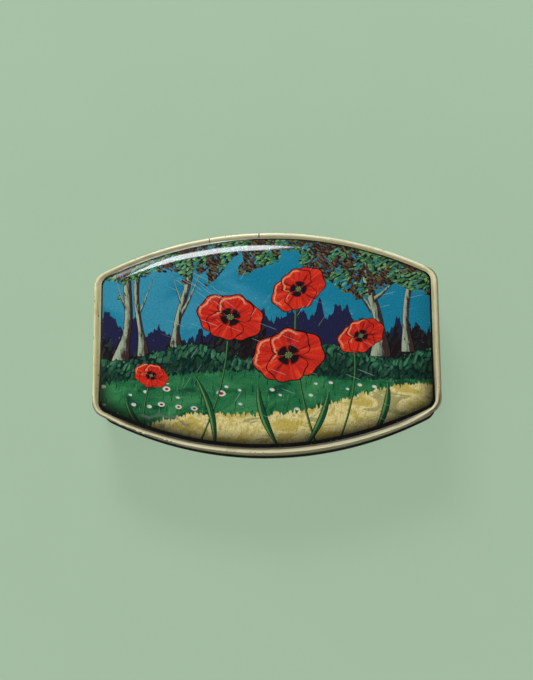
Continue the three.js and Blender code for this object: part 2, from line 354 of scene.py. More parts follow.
def lid_piece():
    """The lid, one profile carried round the tin's plan: the dome's top from the centre out, the bead's slope
    and round, the skirt with its pressed line and its hem, then back inside it to the centre underneath."""
    shares = np.concatenate([np.linspace(PANEL_CENTRE, 0.27, 24), np.linspace(0.25, 0, 30)])
    top = dented(panel_loops(shares, panel_height(shares)), shares)
    t = np.linspace(0.96, 0.04, 14)
    crest = BEAD_Z + BEAD_RADIUS
    sides, ends, heights = rim_slope(t, crest, BEAD_RADIUS, 0)
    slope = rim_loops(np.stack([sides, heights], -1), ends)
    turn_end = math.acos(1 - SKIRT_INSET / BEAD_RADIUS)
    turn = np.linspace(-np.pi / 2, turn_end, 20)
    bead = rim_loops(np.stack([BEAD_RADIUS * (1 - np.cos(turn)), BEAD_Z - BEAD_RADIUS * np.sin(turn)], -1))
    under_bead = BEAD_Z - BEAD_RADIUS * math.sin(turn_end)
    inner = SKIRT_INSET + SHEET
    inner_radius = BEAD_RADIUS - SHEET
    inner_start = math.acos((BEAD_RADIUS - inner) / inner_radius)
    line_z = SKIRT_BOTTOM + PRESSED_LINE_UP
    skirt_profile = filleted(
        [(SKIRT_INSET, under_bead - 0.2), (SKIRT_INSET, line_z + PRESSED_LINE_HALF),
         (SKIRT_INSET + PRESSED_LINE_DEPTH, line_z), (SKIRT_INSET, line_z - PRESSED_LINE_HALF),
         (SKIRT_INSET, SKIRT_BOTTOM), (inner, SKIRT_BOTTOM),
         (inner, BEAD_Z - inner_radius * math.sin(inner_start) - 0.1)],
        radii=[0.5, 0.35, 0.5, 0.16, 0.16])
    skirt = rim_loops(subdivided(skirt_profile, longest=2.2))
    turn = np.linspace(inner_start, -np.pi / 2, 14)
    inner_bead = rim_loops(
        np.stack([BEAD_RADIUS - inner_radius * np.cos(turn), BEAD_Z - inner_radius * np.sin(turn)], -1))
    t = np.linspace(0.1, 0.96, 8)
    sides, ends, heights = rim_slope(t, crest - SHEET, BEAD_RADIUS, 0.12)
    inner_slope = rim_loops(np.stack([sides, heights], -1), ends)
    under_shares = np.concatenate([np.linspace(0.004, 0.25, 16), np.linspace(0.29, PANEL_CENTRE, 16)])
    under = dented(panel_loops(under_shares, panel_height(under_shares) - SHEET), under_shares)
    rows = np.concatenate([top, slope, bead, skirt, inner_bead, inner_slope, under])
    crest_row = len(top) + len(slope)
    bead_end = crest_row + len(bead)
    hem_rows = 3
    outside = bead_end + int(np.argmax(skirt[:, 0, 2] <= SKIRT_BOTTOM + TOLERANCE)) + hem_rows
    slots = np.full(len(rows) - 1, LID_INSIDE)
    slots[:outside] = LID_OUTSIDE
    slots[:len(top) - 1] = LID_PICTURE
    off_panel, past_bead = -1.0, 1.2
    edge = np.full(len(rows), off_panel)
    edge[:len(top)] = shares * PANEL_HALF_DEPTH
    across = np.zeros(len(rows))
    across[len(top):crest_row] = np.linspace(0.04, 0.5, len(slope))
    across[crest_row:bead_end] = np.linspace(0.5, 1, len(bead))
    across[bead_end:] = past_bead
    attributes = {"edge_mm": np.repeat(edge, rows.shape[1]), "across_bead": np.repeat(across, rows.shape[1])}
    return capped_piece("lid", rows, attributes, slots)


def wall_piece():
    """The body's wall, one profile carried round the plan: flush below the split, necked in to the collar."""
    inner = SKIRT_INSET + SHEET
    collar = inner + SLIP_GAP
    collar_in = collar + SHEET
    bend_z = (SPLIT_Z + COLLAR_TOP) / 2
    profile = filleted(
        [(SKIRT_INSET, WALL_FOOT), (SKIRT_INSET, SPLIT_Z), (collar, SPLIT_Z), (collar, bend_z),
         (collar + COLLAR_LEAD, COLLAR_TOP), (collar_in + COLLAR_LEAD, COLLAR_TOP), (collar_in, bend_z),
         (collar_in, SPLIT_Z - SHEET), (inner, SPLIT_Z - SHEET), (inner, WALL_FOOT)],
        radii=[0.28, 0.12, 6, 0.17, 0.17, 6, 0.3, 0.1])
    profile = subdivided(profile, longest=2.4)
    outside = int(np.argmax(profile[:, 1] >= SPLIT_Z - TOLERANCE))
    slots = np.full(len(profile), INSIDE)
    slots[:outside] = OUTSIDE
    return looped_piece("body_wall_dressed", rim_loops(profile), slots)


def base_piece():
    """The base, one profile carried round the plan: pan with a stamped ring (a Gaussian of the share), slope,
    foot and the seam round the wall, black outside and bare inside the tin."""
    shares = np.concatenate([np.linspace(PANEL_CENTRE, 0.36, 12), np.linspace(0.33, 0.12, 22)])
    ring_height, ring_at, ring_width = 0.32, 0.22, 0.022
    ring = ring_height * np.exp(-(((shares - ring_at) / ring_width) ** 2))
    floor = PAN_DEPTH + SHEET
    foot_inner = SKIRT_INSET + SHEET + SEAM_GAP + SHEET
    slot_inner = foot_inner - SHEET
    slot_outer = SEAM_INSET + SHEET
    curl_gap, curl_height, flat_edge = 0.04, 0.6, 0.4
    curl = SKIRT_INSET - curl_gap
    curl_z = SEAM_TOP - curl_height
    pan = foot_inner + PAN_SLOPE
    profile = filleted(
        [(pan + flat_edge, PAN_DEPTH), (pan, PAN_DEPTH), (foot_inner, 0), (SEAM_INSET, 0),
         (SEAM_INSET, SEAM_TOP), (curl, SEAM_TOP), (curl, curl_z), (slot_outer, curl_z), (slot_outer, SHEET),
         (slot_inner, SHEET), (slot_inner, floor), (pan + flat_edge, floor)],
        radii=[0.3, 0.5, 0.6, 0.28, 0.1, 0.1, 0.1, 0.2, 0.2, 0.3])
    profile = subdivided(profile, longest=0.7)
    rows = np.concatenate([panel_loops(shares, PAN_DEPTH + ring), rim_loops(profile),
                           panel_loops(shares[::-1], floor + ring[::-1])])
    slots = np.full(len(rows) - 1, OUTSIDE)
    slots[len(shares) + int(np.flatnonzero(profile[:, 1] <= SHEET + TOLERANCE)[-1]):] = INSIDE
    return capped_piece("base_dressed", rows, slots=slots)


def wall_bow(x):
    """How far the bowed wall falls back at x from its own middle: R - sqrt(R^2 - x^2)."""
    radius = BOW_RADIUS - SKIRT_INSET
    return radius - np.sqrt(radius**2 - x**2)


LEAF_MIDDLE = HALF_DEPTH - SKIRT_INSET + HINGE_GAP + HINGE_SHEET / 2


def rolled_leaf(x_from, x_to, end_z, side):
    """A leaf rolled round the pin: up or down the wall's bow, a bend, a strap out to the hinge line over the
    pin (side 1) or under it (side -1), then an arc about the pin that stops short of its own strap."""
    x = np.linspace(x_from, x_to, 15)[:, None]
    bend, reach, roll_turn = 0.45, KNUCKLE_MIDDLE, np.radians(262)
    strap_z = HINGE_Z + side * reach
    leaf_y = LEAF_MIDDLE - wall_bow(x)
    down = np.linspace(1, 0, 8)
    leaf = grid(x, leaf_y, strap_z + side * bend + (end_z - strap_z - side * bend) * down)
    angle = np.linspace(0, np.pi / 2, 6)[1:]
    corner = grid(x, leaf_y + bend * (1 - np.cos(angle)), strap_z + side * bend * (1 - np.sin(angle)))
    share = np.linspace(0, 1, 6)[1:]
    strap_from = leaf_y + bend
    strap = grid(x, strap_from + (HINGE_Y - strap_from) * share, strap_z)
    angle = np.linspace(0, roll_turn, 26)[1:]
    roll = grid(x, HINGE_Y + reach * np.sin(angle), HINGE_Z + side * reach * np.cos(angle))
    return sheet_shell(np.concatenate([leaf, corner, strap, roll], axis=1), HINGE_SHEET)


def leaf_plate(x_from, x_to, z_from, z_to):
    """A flat strip on the wall's back that follows its bow."""
    x = np.linspace(x_from, x_to, 41)[:, None]
    z = np.linspace(z_from, z_to, 7)[None]
    return sheet_shell(grid(x, LEAF_MIDDLE - wall_bow(x), z), HINGE_SHEET)


def body_leaf_piece():
    """The body's hinge leaf: one strip, with a rolled knuckle at its middle and at each end."""
    plate_top = HINGE_Z - PIN_RADIUS - HINGE_GAP - KNUCKLE_ROOM
    plate = leaf_plate(-LEAF_REACH, LEAF_REACH, leaf_low.z / MM + LEAF_TRIM, plate_top)
    spans = [(-LEAF_REACH, -OUTER_KNUCKLE), (-CENTRE_KNUCKLE, CENTRE_KNUCKLE), (OUTER_KNUCKLE, LEAF_REACH)]
    knuckles = [rolled_leaf(x_from, x_to, plate_top - LEAF_LAP, -1) for x_from, x_to in spans]
    return joined_piece("body_hinge", [plate] + knuckles)


def lid_tab_piece(name, x_from, x_to):
    """One of the lid's two hinge tabs, rolled over the pin."""
    return joined_piece(name, [rolled_leaf(x_from, x_to, TAB_TOP - LEAF_TRIM, 1)])


def pin_piece():
    """The hinge pin: circles along X whose radius drops at both ends for a chamfer."""
    reach, chamfer, end_step = PIN_REACH, 0.12, 0.4
    x = np.concatenate([[-reach, -reach + chamfer], np.linspace(-reach + end_step, reach - end_step, 24),
                        [reach - chamfer, reach]])[:, None]
    radius = np.full(x.shape, PIN_RADIUS)
    radius[[0, -1]] -= chamfer
    angle = np.linspace(0, 2 * np.pi, 33)[:-1]
    rows = grid(x, HINGE_Y + radius * np.cos(angle), HINGE_Z + radius * np.sin(angle))
    return capped_piece("hinge_wire", rows)


def lap_seam_piece():
    """The wall's upright lap seam on its left end: a strip set a quarter of a millimetre proud, whose edges
    an eighth power rounds off."""
    width, proud, shift, thick, sunk = 5.2, 0.24, 6.0, 0.16, 0.1
    foot_gap, top_gap = 0.05, 0.3
    y = np.linspace(-width / 2, width / 2, 15)
    z = np.linspace(SEAM_TOP + foot_gap, SPLIT_Z - top_gap, 20)[:, None]
    face = HALF_LENGTH - SKIRT_INSET
    swell = proud * np.clip((1 - (2 * np.abs(y) / width) ** 8), 0, 1) - sunk
    return joined_piece("lap_seam", [sheet_shell(grid(-face - swell + thick / 2, y + shift, z), thick)])


def slit_piece(name, x):
    """A dark slit across the rear bead, where a hinge tab is let in: a thin strip laid on the bead's section,
    over its round and down its inner slope, tapering to nothing at both ends."""
    widest, thick = 0.2, 0.06
    angle = np.radians(np.linspace(15, 85, 8))
    slope_in, _, slope_z = rim_slope(np.linspace(0, 0.9, 9), BEAD_Z + BEAD_RADIUS, BEAD_RADIUS, 0)
    inset = np.concatenate([BEAD_RADIUS * (1 - np.cos(angle)), slope_in])[:, None]
    z = np.concatenate([BEAD_Z + BEAD_RADIUS * np.sin(angle), slope_z])[:, None]
    t = np.linspace(-1, 1, len(z))[:, None]
    half_width = widest * np.sqrt(np.clip(1 - t**4, 0.02, 1))
    side = np.linspace(-1, 1, 5)[None]
    back = HALF_DEPTH - (BOW_RADIUS - np.sqrt(BOW_RADIUS**2 - x**2))
    return joined_piece(name, [sheet_shell(grid(x + side * half_width, back - inset, z), thick)])


# Shader nodes


def maths(operation, reflected=False):
    """A function of a wire, and of further values where the operation takes them, that adds one Math node."""

    def applied(wire, *others):
        values = (*others, wire) if reflected else (wire, *others)
        return wire.finish.node("ShaderNodeMath", dict(enumerate(values)), operation=operation)

    return applied


class Wire:
    """A node's output that takes part in arithmetic."""

    def __init__(self, finish, socket):
        self.finish = finish
        self.socket = socket

    __add__ = __radd__ = maths("ADD")
    __sub__ = maths("SUBTRACT")
    __rsub__ = maths("SUBTRACT", reflected=True)
    __mul__ = __rmul__ = maths("MULTIPLY")
    __truediv__ = maths("DIVIDE")
    __rtruediv__ = maths("DIVIDE", reflected=True)
    __pow__ = maths("POWER")
    __lt__ = maths("LESS_THAN")
    __gt__ = maths("GREATER_THAN")
    __abs__ = maths("ABSOLUTE")

    def __neg__(self):
        return self * -1


higher = maths("MAXIMUM")
sine = maths("SINE")
cosine = maths("COSINE")
root = maths("SQRT")
whole = maths("FLOOR")
turn_of = maths("ARCTAN2")


def linear(*rgb):
    """A screen colour from 0 to 255 as the linear colour that renders so."""
    shares = [value / 255 for value in rgb]
    return tuple(s / 12.92 if s <= 0.04045 else ((s + 0.055) / 1.055) ** 2.4 for s in shares) + (1.0,)


class Nodes:
    """A material's or a world's node tree. Every node comes from node(), in the order in which it is used, so
    that few values wait at once."""

    def __init__(self, owner):
        owner.use_nodes = True
        self.tree = owner.node_tree
        self.tree.nodes.clear()

    def node(self, kind, inputs, output=0, **settings):
        """Adds a node: its settings first, then the values or wires of its sockets."""
        made = self.tree.nodes.new(kind)
        for key, value in settings.items():
            setattr(made, key, value)
        for key, value in inputs.items():
            if isinstance(value, Wire):
                self.tree.links.new(value.socket, made.inputs[key])
            else:
                made.inputs[key].default_value = value
        return Wire(self, made.outputs[output]) if made.outputs else made

    def vector(self, operation, *values, output=0):
        return self.node("ShaderNodeVectorMath", dict(enumerate(values)), output=output, operation=operation)

    def length(self, vector):
        return self.vector("LENGTH", vector, output="Value")

    def split(self, vector):
        made = self.node("ShaderNodeSeparateXYZ", {0: vector}).socket.node
        return tuple(Wire(self, made.outputs[i]) for i in range(3))

    def ease(self, value, start, end, low=0.0, high=1.0):
        """A smooth step from low at start to high at end; start may be the greater of the two."""
        ends = {"From Min": start, "From Max": end, "To Min": low, "To Max": high}
        return self.node("ShaderNodeMapRange", {"Value": value} | ends, interpolation_type="SMOOTHSTEP")

    def scaled(self, value, factor, plus=0.0):
        """value * factor + plus in one node."""
        return self.node("ShaderNodeMath", {0: value, 1: factor, 2: plus}, operation="MULTIPLY_ADD")

    def choose(self, under, over, share):
        """Mixes two numbers."""
        return self.node("ShaderNodeMix", {0: share, 2: under, 3: over}, data_type="FLOAT")

    def mix(self, under, over, share):
        """Mixes two colours."""
        return self.node("ShaderNodeMix", {0: share, 6: under, 7: over}, output=2, data_type="RGBA")


class Finish(Nodes):
    """A material in the making, with the point's place in millimetres of the tin's plan."""

    def __init__(self, name):
        self.material = bpy.data.materials.new(name)
        super().__init__(self.material)
        place = self.node("ShaderNodeTexCoord", {}, output="Object")
        self.place = self.vector("MULTIPLY_ADD", place, (1 / MM,) * 3, (0, -PLAN_Y, 0))
        self.x, self.y, self.z = self.split(self.place)

    def point(self, x, y, z=0.0):
        return self.node("ShaderNodeCombineXYZ", {0: x, 1: y, 2: z})

    def turned(self, turn, sizes, origin=(0.0, 0.0, 0.0)):
        """The place seen from an origin, along axes turned about Z by degrees, in units of given sizes."""
        return self.node("ShaderNodeMapping", {"Vector": self.place, "Location": origin,
                                               "Rotation": (0, 0, math.radians(turn)), "Scale": sizes},
                         vector_type="TEXTURE")

    def noise(self, vector, scale, detail, rough, bend=0.0, flat=False):
        return self.node("ShaderNodeTexNoise", {"Vector": vector, "Scale": scale, "Detail": detail,
                                                "Roughness": rough, "Distortion": bend},
                         noise_dimensions="2D" if flat else "3D")

    def streaked(self, scales, turn, detail, rough, bend=0.0, flat=False):
        """Noise along axes turned about Z by degrees, with a scale of its own on each."""
        place = self.turned(turn, tuple(1 / scale for scale in scales))
        return self.noise(place, 1.0, detail, rough, bend, flat)

    def near(self, value, at, reach):
        """1 where a value lies within reach of the given one, else 0."""
        return self.node("ShaderNodeMath", {0: value, 1: at, 2: reach}, operation="COMPARE")

    def tint(self, colour, over, share):
        """Multiplies a colour by another."""
        return self.node("ShaderNodeMix", {0: share, 6: colour, 7: over}, output=2, data_type="RGBA",
                         blend_type="MULTIPLY")

    def attribute(self, name):
        return self.node("ShaderNodeAttribute", {}, output="Fac", attribute_name=name)

    def line(self, value, at, half_width, soft=0.1):
        """A soft-edged band where a value lies near the given one."""
        return self.ease(abs(value - at), half_width + soft, half_width - soft)

    def end(self, colour, rough, relief=None, metal=0.0, depth=0.05, ior=1.5, coat=0.0, coat_rough=0.05):
        """The shader itself: what varies comes by wire, what doesn't sits on the sockets. A relief of 1
        stands proud by the depth, in millimetres."""
        values = {"Base Color": colour, "Roughness": rough, "Metallic": metal, "IOR": ior,
                  "Coat Weight": coat, "Coat Roughness": coat_rough}
        if relief is not None:
            bump = {"Height": relief, "Distance": depth * MM, "Strength": 1.0}
            values["Normal"] = self.node("ShaderNodeBump", bump)
        shader = self.node("ShaderNodeBsdfPrincipled", values)
        self.node("ShaderNodeOutputMaterial", {"Surface": shader})
        return self.material


CREAM = linear(204, 194, 136)
CREAM_PALE = linear(222, 214, 166)
CREAM_LINE = linear(252, 245, 208)
THREAD_WHITE = linear(255, 252, 238)
CREAM_DULL = linear(176, 164, 108)
CREAM_BRIGHT = linear(255, 246, 184)
OLIVE = linear(78, 65, 28)
OLIVE_GREY = linear(108, 94, 60)
BROWN = linear(50, 38, 28)
INK = linear(12, 9, 9)


def thread_highlight(f):
    """Where a painted highlight lies along the crease at the bead's foot: the rear edge's left half, short of
    the corner.
    """
    return f.ease(f.y, 18.0, 26.0, 0.0, 0.9) * f.ease(f.x, 0.0, -24.0) * f.ease(f.x, -69.0, -62.0)


def bead_paint(f, colour, chipped, front, right, side_shade):
    """The rolled bead's tones: painted light on its slope in the rear and on the left, painted shade and dirt
    on the slope in front, a painted highlight line along it, painted shade on its outer side that is darkest
    round the front corners, painted shade in the crease at its foot in front, a painted highlight at its foot
    in the rear;
    and its chips: dashes along the lower left, flecks at the corners."""
    reach = f.attribute("across_bead")
    rear = f.ease(f.y, 18.0, 30.0)
    # Painted light: the bead's slope is paler in the rear and on the left.
    lit_slope = higher(rear * f.ease(f.x, -50.0, -10.0, 0.35, 1.0),
                   f.ease(f.x, -60.0, -70.0, 0.0, 0.5) * f.scaled(front, -1.0, 1.0))
    colour = f.mix(colour, CREAM_BRIGHT, f.ease(reach, 0.60, 0.48) * lit_slope)
    in_front = front * f.ease(abs(f.x), HALF_LENGTH - 4.0, HALF_LENGTH - 17.0, 0.15, 1.0)
    front_corners = f.ease(abs(f.x), HALF_LENGTH - 16.0, HALF_LENGTH - 6.0) * f.ease(f.y, -21.0, -27.0)
    # Painted shade with dirt: the slope in front turns olive towards the bead's foot.
    foot_shade_and_dirt = f.ease(f.scaled(in_front, -0.22, reach), 0.46, 0.02)
    colour = f.mix(colour, OLIVE, foot_shade_and_dirt * f.scaled(in_front, 0.93, 0.03))
    # Painted highlight: a pale line along the bead near its crest, in front, in the rear and on the right
    # end.
    rub_and_highlight = higher(f.ease(f.y, -14.0, -30.0) * 0.75,
                    higher(rear * f.ease(f.x, -48.0, -5.0, 0.3, 0.95), right * 0.6))
    outwards = f.scaled(front_corners, 0.12, reach)
    rub_and_highlight = rub_and_highlight * f.line(f.scaled(rear, 0.07, f.scaled(right, 0.25, outwards)), 0.62, 0.10, 0.07)
    colour = f.mix(colour, CREAM_LINE, rub_and_highlight)
    # Painted shade: the bead's outer side is darker in front and on the right, darkest round the front
    # corners.
    side_shade = f.ease(f.scaled(right, 0.12, outwards), 0.64, 0.74) * higher(side_shade, front_corners)
    colour = f.mix(colour, OLIVE_GREY, side_shade)
    # Painted highlight: a near-white thread at the bead's foot in the rear.
    colour = f.mix(colour, THREAD_WHITE, f.ease(reach, 0.20, 0.11) * thread_highlight(f))
    # Painted shade: black in the crease at the bead's foot in front, and on the bead's outer side round the
    # front corners.
    crease_shade = f.ease(reach, 0.16, 0.09) * front
    colour = f.mix(colour, INK, higher(crease_shade, f.ease(reach, 0.66, 0.74, 0.0, 0.85) * front_corners))
    lower_left = f.ease(f.x, -36.0, -48.0) * f.ease(f.y, -20.0, -26.0)
    chips = f.ease(f.scaled(lower_left, 0.16, chipped), 0.60, 0.63) * f.line(reach, 0.72, 0.10, 0.04)
    corner = f.ease(abs(f.x), HALF_LENGTH - 5, HALF_LENGTH - 1.0) * f.ease(abs(f.y), 25.0, 28.0)
    chips = higher(chips, f.ease(chipped, 0.53, 0.57) * corner * f.line(reach, 0.80, 0.09, 0.04))
    dings = higher(f.line(f.x, 7.4, 1.0, 0.6) * f.line(reach, 0.90, 0.10, 0.04),
                   f.line(f.x, -16.8, 0.35, 0.2) * f.line(reach, 0.66, 0.03, 0.02))
    return colour, higher(chips, dings * front), crease_shade


def cream_paint(name, on_bead=False, foot_band=None):
    """Aged cream enamel on tinplate: yellowed in patches, with painted shade in front and on the right, on
    the bead also the painted light, shade and dirt of its slope and crease, chipped to dull brown metal at
    the proud edges, peppered with small dark specks; with a foot band, black below it, standing also for the
    shade along the tin's foot."""
    f = Finish(name)
    front = f.ease(f.y, 2.0, -26.0)
    right = f.ease(f.x, HALF_LENGTH - 7.0, HALF_LENGTH - 3.0)
    # Painted shade: darker in front and on the right.
    side_shade = higher(front * 0.8, right)
    slow = f.noise(f.place, 0.09, 3, 0.55)
    colour = f.mix(CREAM, CREAM_PALE, f.ease(slow, 0.48, 0.72) * 0.8)
    colour = f.mix(colour, CREAM_DULL, f.ease(f.noise(f.place, 0.28, 4, 0.6), 0.5, 0.72) * 0.55)
    fine = f.noise(f.place, 2.4, 3, 0.6)
    colour = f.tint(colour, linear(200, 190, 160), f.ease(fine, 0.52, 0.75) * 0.45)
    chipped = f.noise(f.place, 0.5, 6, 0.66, 0.3)
    rough = 0.28 + 0.16 * f.ease(fine, 0.4, 0.7)
    gloss = 0.12
    if on_bead:
        colour, chips, crease_shade = bead_paint(f, colour, chipped, front, right, side_shade)
        rough = rough + crease_shade * 0.4
        gloss = f.scaled(crease_shade, -0.35, 0.35)
    else:
        # The skirt and the wall take the painted shade in front and on the right.
        colour = f.mix(colour, OLIVE_GREY, side_shade)
        edge_wear = f.line(f.z, SKIRT_BOTTOM - 0.15, 0.4, 0.3)
        chips = f.ease(chipped + edge_wear * 0.1, 0.68, 0.70)
    specks = f.node("ShaderNodeTexVoronoi", {"Vector": f.place, "Scale": 0.24}, output="Distance")
    specks = f.ease(specks, 0.085, 0.06) * f.ease(f.noise(f.place, 0.21, 1, 0.5), 0.47, 0.50)
    rub_and_highlight = f.streaked((0.12, 0.12, 1.6), 0, 3, 0.6)
    colour = f.tint(colour, linear(160, 148, 112), f.ease(rub_and_highlight, 0.56, 0.7) * 0.35)
    # The black band round the foot is enamel that also stands in for the shade along the tin's foot.
    if foot_band is not None:
        uneven = (f.noise(f.place, 0.8, 2, 0.5) - 0.5) * 0.18
        band = f.ease(f.z + uneven, foot_band + 0.06, foot_band - 0.06)
        colour = f.mix(colour, INK, band)
        rough = rough + 0.25 * band
        gloss = f.scaled(band, -0.12, 0.12)
    metal_tone = f.mix(BROWN, linear(104, 92, 72), f.ease(fine, 0.45, 0.6))
    colour = f.mix(colour, metal_tone, chips)
    colour = f.mix(colour, linear(40, 30, 22), specks * 0.9)
    relief = fine * 0.22 + slow * 0.5 - higher(chips, specks) * 0.9
    return f.end(colour, rough + chips * 0.2, relief, depth=0.035, coat=gloss, coat_rough=0.12,
                 ior=1.5 if on_bead else 1.35)


def tinplate(name, tarnish=0.5, rust=0.5, worn=0.0, bright=0.85):
    """Bare tinplate: grey metal with faint rolling lines, yellow-brown tarnish in clouds, and pinholes of
    rust. The less bright it is, the more of its metal has gone dull and matt."""
    f = Finish(name)
    clouds = f.noise(f.place, 0.055, 5, 0.6, 0.4)
    rolled = f.streaked((0.05, 2.6, 2.6), 0, 3, 0.6)
    colour = f.mix(linear(176, 174, 166), linear(150, 136, 108), f.ease(clouds, 0.38, 0.68) * tarnish)
    colour = f.tint(colour, linear(205, 203, 198), f.ease(rolled, 0.42, 0.66) * 0.5)
    spangle = f.node("ShaderNodeTexVoronoi", {"Vector": f.place, "Scale": 0.22}, output="Color")
    spangle = f.split(spangle)[0]
    colour = f.tint(colour, linear(216, 216, 214), spangle * 0.35)
    grain = f.noise(f.place, 1.7, 6, 0.7)
    spots = f.ease(grain, 0.67, 0.71) * f.ease(clouds, 0.46, 0.58) * rust
    stain = f.ease(grain, 0.55, 0.7) * f.ease(clouds, 0.52, 0.66) * rust
    colour = f.mix(colour, linear(124, 92, 62), stain * 0.6)
    colour = f.mix(colour, linear(84, 50, 30), spots)
    rough = 0.26 + 0.2 * f.ease(clouds, 0.3, 0.7) + 0.3 * spots + worn
    relief = rolled * 0.25 + grain * 0.2 + clouds * 0.6 - spots * 0.5
    return f.end(colour, rough, relief, metal=bright - (bright - 0.1) * spots, depth=0.03)


def black_japan(name):
    """Black japanned base: deep gloss black, dusty, rubbed to brown and bare grey where it stands."""
    f = Finish(name)
    clouds = f.noise(f.place, 0.12, 4, 0.6)
    fine = f.noise(f.place, 1.9, 5, 0.65)
    colour = f.mix(linear(14, 11, 10), linear(40, 34, 30), f.ease(clouds, 0.4, 0.75) * 0.7)
    scuffs = f.ease(f.streaked((0.08, 1.4, 1.4), 24, 4, 0.6), 0.60, 0.66)
    colour = f.mix(colour, linear(92, 84, 74), scuffs * f.ease(clouds, 0.44, 0.6) * 0.45)
    foot = f.ease(f.z, 0.3, 0.05)
    bare = f.ease(fine + foot * 0.12, 0.58, 0.66) * foot
    colour = f.mix(colour, linear(128, 118, 102), bare * 0.9)
    pits = f.ease(fine, 0.70, 0.74)
    colour = f.mix(colour, linear(96, 60, 38), pits * 0.8)
    rough = 0.24 + 0.25 * f.ease(clouds, 0.35, 0.7) + 0.2 * bare
    relief = fine * 0.3 + clouds * 0.4 - higher(bare, pits) * 0.6
    return f.end(colour, rough, relief, metal=bare * 0.8, depth=0.04, coat=0.12, coat_rough=0.12, ior=1.4)


def drawn_wire(name):
    """Drawn steel wire: bright, lined along its length, browned in spots."""
    f = Finish(name)
    drawn = f.streaked((0.15, 6, 6), 0, 3, 0.6)
    spots = f.ease(f.noise(f.place, 0.9, 4, 0.65), 0.56, 0.66)
    colour = f.mix(linear(150, 148, 143), linear(190, 188, 182), f.ease(drawn, 0.4, 0.65))
    colour = f.mix(colour, linear(98, 66, 42), spots * 0.8)
    return f.end(colour, 0.24 + 0.4 * spots, drawn * 0.5 + spots * 0.5, metal=1 - 0.7 * spots, depth=0.02)


def slit_shadow(name):
    """The unlit gap of a slit: matt brown-black, dusty at its lips."""
    f = Finish(name)
    dust = f.noise(f.place, 3.0, 3, 0.6)
    colour = f.mix(linear(34, 25, 18), linear(70, 54, 38), f.ease(dust, 0.45, 0.7))
    return f.end(colour, 0.7 + 0.2 * dust, dust, depth=0.03)


# The lid's printed picture: a poppy meadow before a wood's edge, drawn in millimetres from the panel's middle

SKY_TEAL = linear(20, 134, 164)
SKY_PALE = linear(58, 154, 182)
INDIGO = linear(34, 36, 72)
NIGHT = linear(27, 15, 20)
UMBER = linear(66, 46, 42)
MEADOW = linear(38, 118, 70)
MEADOW_LIGHT = linear(70, 150, 91)
LEAF_LIGHT = linear(104, 164, 112)
STRAW = linear(248, 230, 156)
STRAW_DARK = linear(176, 148, 58)
RED = linear(236, 52, 30)
RED_SHADE = linear(206, 38, 26)
RED_LIGHT = linear(250, 92, 54)
RED_DEEP = linear(116, 10, 14)
RED_GLEAM = linear(244, 168, 118)
BARK = linear(116, 130, 112)
BARK_LIGHT = linear(180, 188, 158)
PETAL_CREAM = linear(238, 230, 200)

# A place across a trunk, a stalk or a poppy that no point on one has
NOWHERE = 9.0
# A unit of height so large that the panel's own heights count for nothing in it
FLAT = 1e6


def sky(f):
    """Flat teal sky, paler and dustier towards the left and in slow clouds."""
    cloud = f.streaked((0.03, 0.06, 1), 0, 4, 0.55, 0.4, flat=True)
    return f.mix(SKY_TEAL, SKY_PALE, f.ease(f.scaled(f.x, -0.003, cloud), 0.38, 0.72))


def skyline(f, height, swing, per_mm, phase, depth, coarse):
    """The height over a skyline of pointed tops: a slow sine, plus noise of a given depth, drawn upwards."""
    tips = f.streaked((coarse, coarse * 0.14, 1), 0, 3, 0.55, flat=True)
    rolling = f.scaled(sine(f.scaled(f.x, per_mm, phase)), -swing, f.y - height)
    return rolling - f.scaled(tips, 2 * depth, -depth)


def leaves(f, dark, middle, light, size, turn):
    """Painted leaves: drawn-out cells of the given size, bent by noise, each dabbed in its own mix of two
    tones, dark between."""
    bent = f.node("ShaderNodeTexNoise", {"Vector": f.place, "Scale": 0.2, "Detail": 1.0}, output="Color",
                  noise_dimensions="2D")
    place = f.vector("MULTIPLY_ADD", bent, (2.2, 2.2, 0), f.turned(turn, (size, size * 0.46, 1)))
    cells = f.node("ShaderNodeTexVoronoi", {"Vector": place, "Scale": 1.0}, output="Color",
                   voronoi_dimensions="2D")
    away = Wire(f, cells.socket.node.outputs["Distance"])
    tone = f.split(cells)[0]
    return f.mix(dark, f.mix(middle, light, tone * tone), f.ease(away, 0.62, 0.40))


def woods(f, colour):
    """Two rows of pointed woods, indigo behind, brown-black with a few leaves before."""
    far = skyline(f, height=7.0, swing=5.0, per_mm=0.06, phase=0.4, depth=12.0, coarse=0.22)
    colour = f.mix(colour, INDIGO, f.ease(far, 0.1, -0.1))
    near = skyline(f, height=-1.0, swing=6.0, per_mm=0.085, phase=2.4, depth=14.0, coarse=0.30)
    thicket = leaves(f, NIGHT, NIGHT, linear(44, 60, 58), size=3.0, turn=62)
    return f.mix(colour, thicket, f.ease(near, 0.1, -0.1))


def canopy(f, colour):
    """Crowns along the upper edge: slow blobs of noise with leafy fringes, some green and others brown."""
    blobs = f.noise(f.place, 0.06, 2, 0.5, 0.3, flat=True)
    fringe = f.noise(f.place, 0.42, 3, 0.6, 0.6, flat=True)
    over = f.scaled(fringe, 5.0, f.scaled(blobs, 38.0, f.scaled(abs(f.x), 0.13, f.y - 54.5)))
    over = over - f.ease(fringe, 0.40, 0.36, 0.0, 9.0)
    green = leaves(f, linear(16, 34, 30), linear(58, 116, 74), linear(140, 186, 118), size=2.0, turn=28)
    brown = leaves(f, NIGHT, UMBER, linear(124, 104, 66), size=1.8, turn=-38)
    kind = f.noise(f.place, 0.1, 3, 0.6, flat=True)
    return f.mix(colour, f.mix(green, brown, f.ease(kind, 0.47, 0.50)), f.ease(over, -0.12, 0.12))


